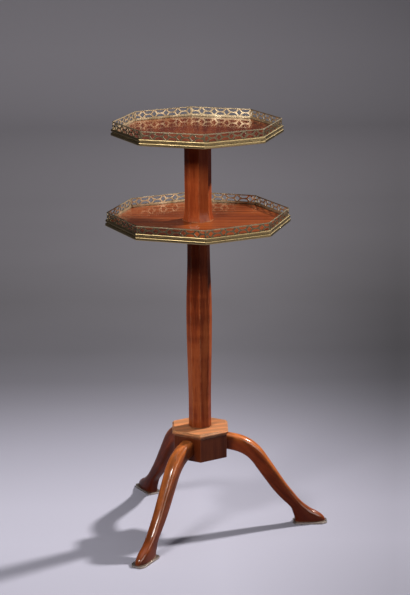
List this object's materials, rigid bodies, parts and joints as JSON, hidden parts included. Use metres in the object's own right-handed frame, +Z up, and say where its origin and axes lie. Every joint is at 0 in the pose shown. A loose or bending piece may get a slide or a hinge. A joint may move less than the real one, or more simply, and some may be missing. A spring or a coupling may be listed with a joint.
{
  "type": "tea table",
  "caption": "Tall tiered tea table: octagonal galleried trays on a faceted stem, raised on a hexagonal block with cabriole legs and slipper feet.",
  "frame": {"origin": "on the floor, under the centre of the box that holds the table; the stem's axis stands 39.7 mm from it towards -X, because one leg reaches further than the trays", "axes": "+Z up; +X along the right leg; the other legs are 120 degrees either side, so -Y is the front of the picture"},
  "size_m": [0.4586, 0.476, 0.87],
  "materials": {
    "tray_mahogany": "French-polished mahogany, glossy",
    "bearer_mahogany": "mahogany, thinly polished",
    "stem_mahogany": "French-polished mahogany, glossy",
    "base_mahogany": "French-polished mahogany, glossy",
    "leg_mahogany": "French-polished mahogany, glossy, worn lighter on the edges",
    "gallery_brass": "aged brass, dull in the corners",
    "edging_brass": "aged brass, brighter on the ribs",
    "pin_brass": "darkened brass",
    "screw_steel": "darkened steel",
    "sole_plate_brass": "pale worn brass",
    "pad_pin_steel": "darkened steel"
  },
  "bodies": {
    "root": {"base_block": "base_mahogany", "cap_plate": "base_mahogany", "foot_pad_back": "sole_plate_brass", "foot_pad_front": "sole_plate_brass", "foot_pad_pins": "pad_pin_steel", "foot_pad_right": "sole_plate_brass", "leg_back": "leg_mahogany", "leg_front": "leg_mahogany", "leg_right": "leg_mahogany", "lower_bearer": "bearer_mahogany", "lower_bearer_screws": "screw_steel", "lower_edging_1": "edging_brass", "lower_edging_2": "edging_brass", "lower_edging_3": "edging_brass", "lower_edging_4": "edging_brass", "lower_edging_5": "edging_brass", "lower_edging_6": "edging_brass", "lower_edging_7": "edging_brass", "lower_edging_8": "edging_brass", "lower_edging_pins": "pin_brass", "lower_gallery_side_1": "gallery_brass", "lower_gallery_side_2": "gallery_brass", "lower_gallery_side_3": "gallery_brass", "lower_gallery_side_4": "gallery_brass", "lower_gallery_side_5": "gallery_brass", "lower_gallery_side_6": "gallery_brass", "lower_gallery_side_7": "gallery_brass", "lower_gallery_side_8": "gallery_brass", "lower_stem": "stem_mahogany", "lower_tray_board": "tray_mahogany", "stem_wedge": "stem_mahogany", "upper_bearer": "bearer_mahogany", "upper_bearer_screws": "screw_steel", "upper_edging_1": "edging_brass", "upper_edging_2": "edging_brass", "upper_edging_3": "edging_brass", "upper_edging_4": "edging_brass", "upper_edging_5": "edging_brass", "upper_edging_6": "edging_brass", "upper_edging_7": "edging_brass", "upper_edging_8": "edging_brass", "upper_edging_pins": "pin_brass", "upper_gallery_side_1": "gallery_brass", "upper_gallery_side_2": "gallery_brass", "upper_gallery_side_3": "gallery_brass", "upper_gallery_side_4": "gallery_brass", "upper_gallery_side_5": "gallery_brass", "upper_gallery_side_6": "gallery_brass", "upper_gallery_side_7": "gallery_brass", "upper_gallery_side_8": "gallery_brass", "upper_stem": "stem_mahogany", "upper_tray_board": "tray_mahogany"}
  },
  "joints": []
}
